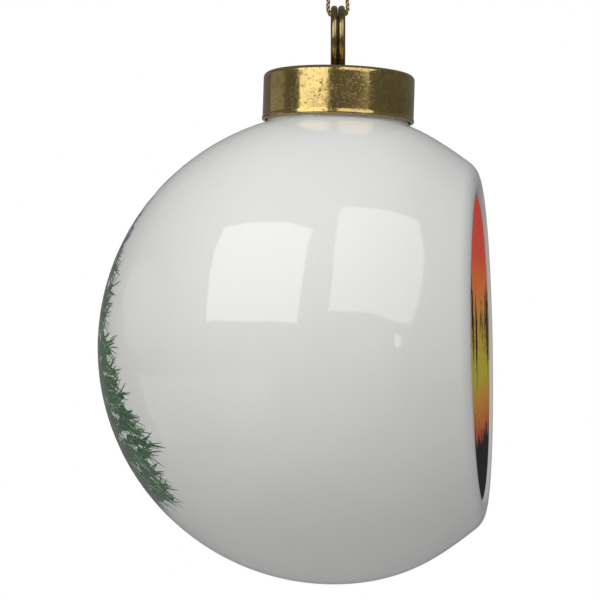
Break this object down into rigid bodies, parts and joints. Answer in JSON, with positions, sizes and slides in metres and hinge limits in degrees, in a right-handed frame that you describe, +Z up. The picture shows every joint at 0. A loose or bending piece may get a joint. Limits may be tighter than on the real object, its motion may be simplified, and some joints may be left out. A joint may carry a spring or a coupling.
{
  "type": "souvenir christmas ornament",
  "caption": "Glazed ceramic ball ornament with one flat face holding a round printed picture, a brass cap, a wire hanger and a looped cord.",
  "frame": {"origin": "the inner top of the cord's loop, just under the knot, where a hook or twig holds the ornament", "axes": "+Z up along the neck's axis, +X the way the picture faces (the picture looks up by 1.1 degrees), +Y to complete a right-handed frame"},
  "size_m": [0.0659, 0.08, 0.1492],
  "materials": {
    "glazed_ceramic": "clear gloss glaze over white",
    "printed_metal": "full colour print under a gloss coat",
    "foam_tape": "double-sided foam",
    "antique_brass": "aged, mottled, semi-gloss",
    "brass_wire": "aged, polished by handling",
    "metallic_cord": "twisted metallic thread"
  },
  "bodies": {
    "cord": {"cord_loop": "metallic_cord", "cord_knot": "metallic_cord", "cord_tail_left": "metallic_cord", "cord_tail_right": "metallic_cord"},
    "hanger": {"hanger_wire": "brass_wire"},
    "cap": {"cap": "antique_brass"},
    "ball": {"ball_shell": "glazed_ceramic", "picture_disc": "printed_metal", "adhesive_pad": "foam_tape"}
  },
  "joints": [
    {"name": "swing", "type": "hinge", "parent": "cord", "child": "hanger", "pos_m": [0, 0, -0.042], "axis": [0.9874, 0.1582, 0], "range_deg": [-75, 75]},
    {"name": "swivel", "type": "hinge", "parent": "hanger", "child": "cap", "pos_m": [0, 0, -0.05195], "axis": [0, 0, 1], "continuous": true},
    {"name": "cap_pull", "type": "slide", "parent": "cap", "child": "ball", "axis": [0, 0, -1], "range_m": [0, 0.03]}
  ]
}
